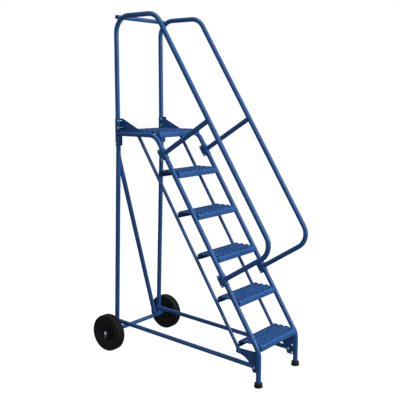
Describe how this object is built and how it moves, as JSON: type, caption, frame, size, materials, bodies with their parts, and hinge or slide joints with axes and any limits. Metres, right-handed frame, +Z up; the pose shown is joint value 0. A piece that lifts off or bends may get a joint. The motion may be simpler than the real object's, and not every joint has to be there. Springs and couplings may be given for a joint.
{
  "type": "rolling warehouse ladder",
  "caption": "Blue steel warehouse ladder with serrated steps, a top platform, tubular handrails and two rear wheels that let it roll like a wheelbarrow.",
  "frame": {"origin": "middle of the ladder's footprint box on the floor", "axes": "+Z up; +Y from the climber at the front feet towards the platform and the rear wheels; +X to the climber's right"},
  "size_m": [0.704, 1.3815, 2.2951],
  "materials": {
    "blue_powder_coat": "semi-gloss powder coat",
    "zinc_steel": "bright zinc plate",
    "foot_rubber": "matt moulded rubber",
    "tyre_rubber": "matt moulded rubber",
    "hub_black": "satin black moulding",
    "bush_nylon": "dark nylon"
  },
  "bodies": {
    "frame": {"left_side_rail": "blue_powder_coat", "right_side_rail": "blue_powder_coat", "left_rear_stringer": "blue_powder_coat", "right_rear_stringer": "blue_powder_coat", "left_front_gusset": "blue_powder_coat", "right_front_gusset": "blue_powder_coat", "left_platform_gusset": "blue_powder_coat", "right_platform_gusset": "blue_powder_coat", "left_handrail_socket": "blue_powder_coat", "right_handrail_socket": "blue_powder_coat", "left_handrail": "blue_powder_coat", "right_handrail": "blue_powder_coat", "left_handrail_strut": "blue_powder_coat", "right_handrail_strut": "blue_powder_coat", "left_upper_saddle": "blue_powder_coat", "right_upper_saddle": "blue_powder_coat", "left_lower_saddle": "blue_powder_coat", "right_lower_saddle": "blue_powder_coat", "left_rear_leg": "blue_powder_coat", "right_rear_leg": "blue_powder_coat", "left_base_rail": "blue_powder_coat", "right_base_rail": "blue_powder_coat", "step_1": "blue_powder_coat", "step_2": "blue_powder_coat", "step_3": "blue_powder_coat", "step_4": "blue_powder_coat", "step_5": "blue_powder_coat", "platform_tread": "blue_powder_coat", "rear_guard_bar": "blue_powder_coat", "rear_brace": "blue_powder_coat", "axle_tube": "blue_powder_coat", "axle_shaft": "zinc_steel", "axle_washers": "zinc_steel", "cotter_pins": "zinc_steel", "saddle_bolts": "zinc_steel", "saddle_nuts": "zinc_steel", "socket_bolts": "zinc_steel", "socket_nuts": "zinc_steel", "rear_leg_bolts": "zinc_steel", "rear_leg_nuts": "zinc_steel", "base_rail_bolts": "zinc_steel", "base_rail_nuts": "zinc_steel", "guard_bar_bolts": "zinc_steel", "guard_bar_nuts": "zinc_steel", "left_foot": "foot_rubber", "right_foot": "foot_rubber"},
    "left_wheel": {"left_tyre": "tyre_rubber", "left_hub": "hub_black", "left_bush": "bush_nylon"},
    "right_wheel": {"right_tyre": "tyre_rubber", "right_hub": "hub_black", "right_bush": "bush_nylon"}
  },
  "joints": [
    {"name": "left_wheel_spin", "type": "hinge", "parent": "frame", "child": "left_wheel", "pos_m": [-0.31, 0.56381, 0.127], "axis": [1, 0, 0], "continuous": true},
    {"name": "right_wheel_spin", "type": "hinge", "parent": "frame", "child": "right_wheel", "pos_m": [0.31, 0.56381, 0.127], "axis": [1, 0, 0], "continuous": true}
  ]
}
